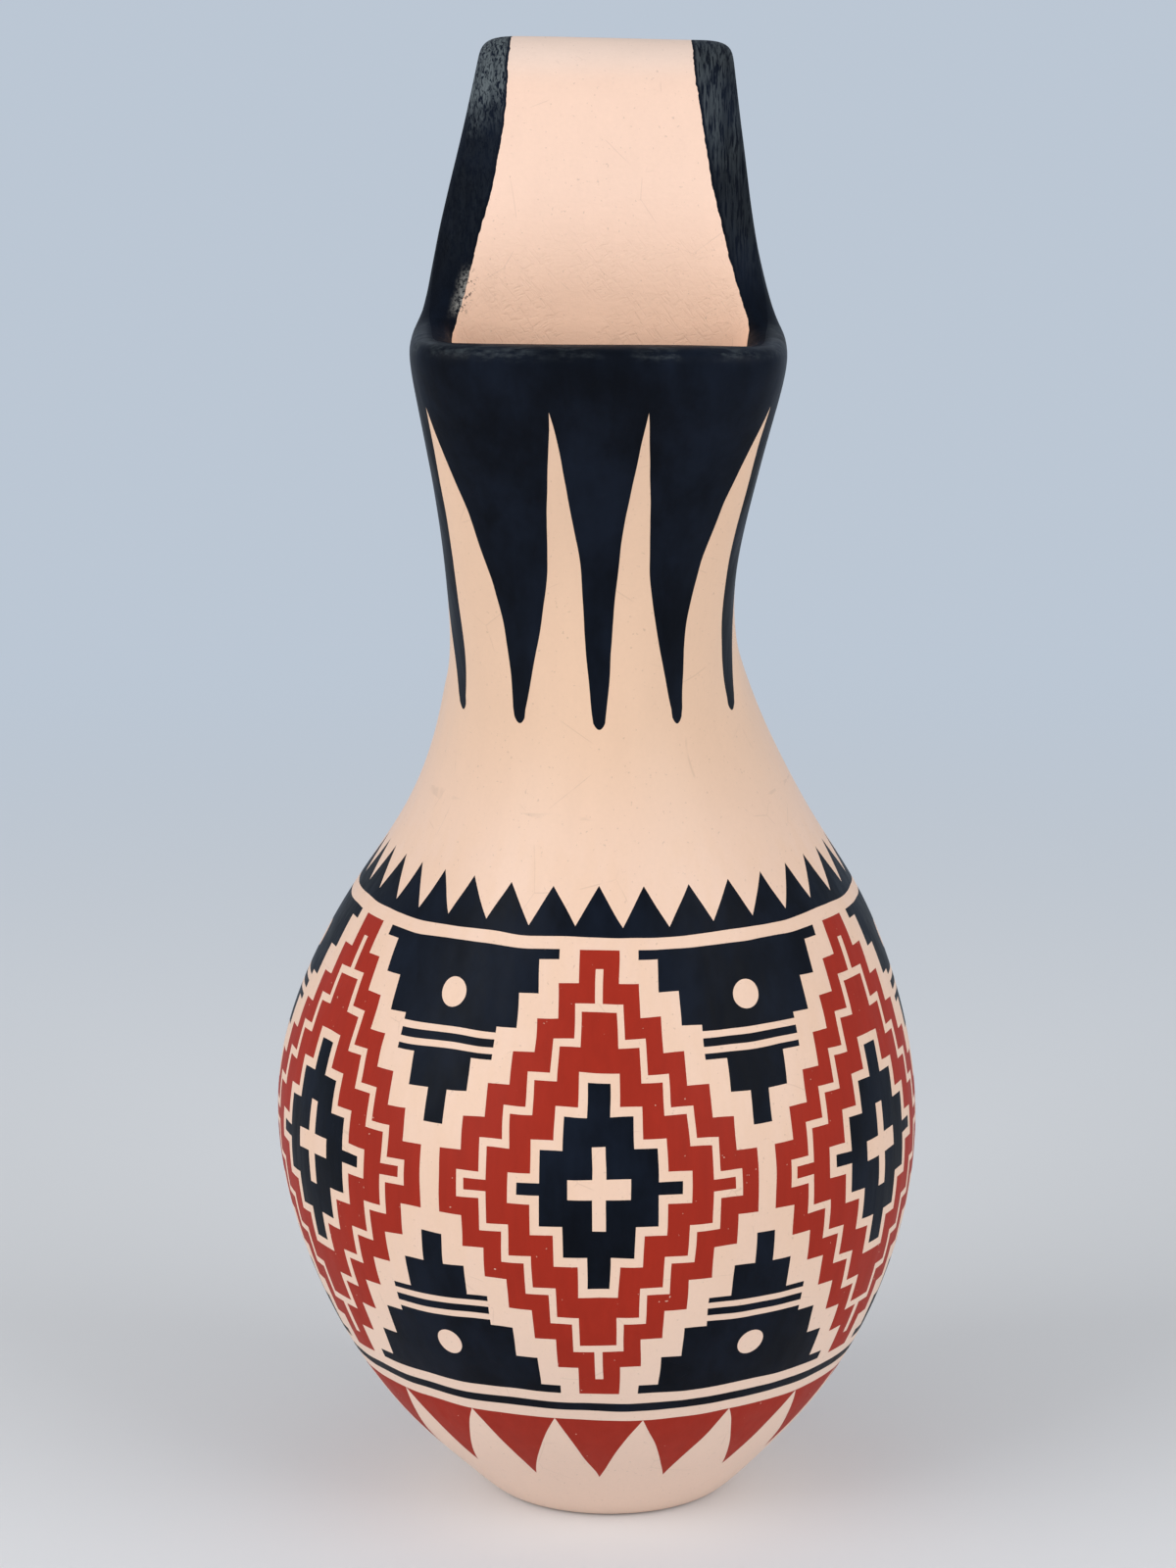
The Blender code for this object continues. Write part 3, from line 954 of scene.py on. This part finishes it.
lightSet = {
    "world": 0.485,
    "tint": (0.97, 0.985, 1, 1),
    "key": {"watts": 27, "size": 1.6, "at": (-1.6, -1.2, 1.0)},
    "fill": {"watts": 22, "size": 1.6, "at": (1.6, -1.2, 1.0)},
    "aim": (0, 0, 0.2),
}


def hangLamp(name, s):
    lamp = bpy.data.lights.new(name, "AREA")
    lamp.energy = s["watts"]
    lamp.size = s["size"]
    holder = bpy.data.objects.new(name, lamp)
    holder.location = s["at"]
    towards = Vector(lightSet["aim"]) - Vector(s["at"])
    holder.rotation_euler = towards.to_track_quat("-Z", "Y").to_euler()
    bpy.context.scene.collection.objects.link(holder)


hangLamp("keySoftbox", lightSet["key"])
hangLamp("fillSoftbox", lightSet["fill"])


def setWorld():
    world = bpy.data.worlds.new("studio")
    world.use_nodes = True
    tree = world.node_tree
    light = tree.nodes["Background"]
    light.inputs["Color"].default_value = lightSet["tint"]
    light.inputs["Strength"].default_value = lightSet["world"]
    backdrop = tree.nodes.new("ShaderNodeBackground")
    backdrop.inputs["Color"].default_value = stageLook["far"]
    blend = tree.nodes.new("ShaderNodeMixShader")
    tree.links.new(backdropRays(tree).socket, blend.inputs[0])
    tree.links.new(light.outputs[0], blend.inputs[1])
    tree.links.new(backdrop.outputs[0], blend.inputs[2])
    tree.links.new(blend.outputs[0], tree.nodes["World Output"].inputs["Surface"])
    bpy.context.scene.world = world


setWorld()

cameraSet = {
    "azimuth": 0.1,             # degrees
    "away": 1.155,
    "height": 0.4355,
    "down": 11.575,             # degrees
    "aside": 0.157,             # degrees to the left of the axis
    "lens": 99,
    "sensor": 36,
    "farClip": 100,
}


def placeCamera():
    s = cameraSet
    a = math.radians(s["azimuth"])
    data = bpy.data.cameras.new("photoCamera")
    data.lens = s["lens"]
    data.sensor_width = s["sensor"]
    data.clip_end = s["farClip"]
    camera = bpy.data.objects.new("photoCamera", data)
    camera.location = (s["away"] * math.sin(a), -s["away"] * math.cos(a), s["height"])
    camera.rotation_euler = (math.radians(90 - s["down"]), 0, a + math.radians(s["aside"]))
    bpy.context.scene.collection.objects.link(camera)
    bpy.context.scene.camera = camera


placeCamera()
bpy.context.scene.view_settings.view_transform = "Standard"
print("stage, lamps and camera set")
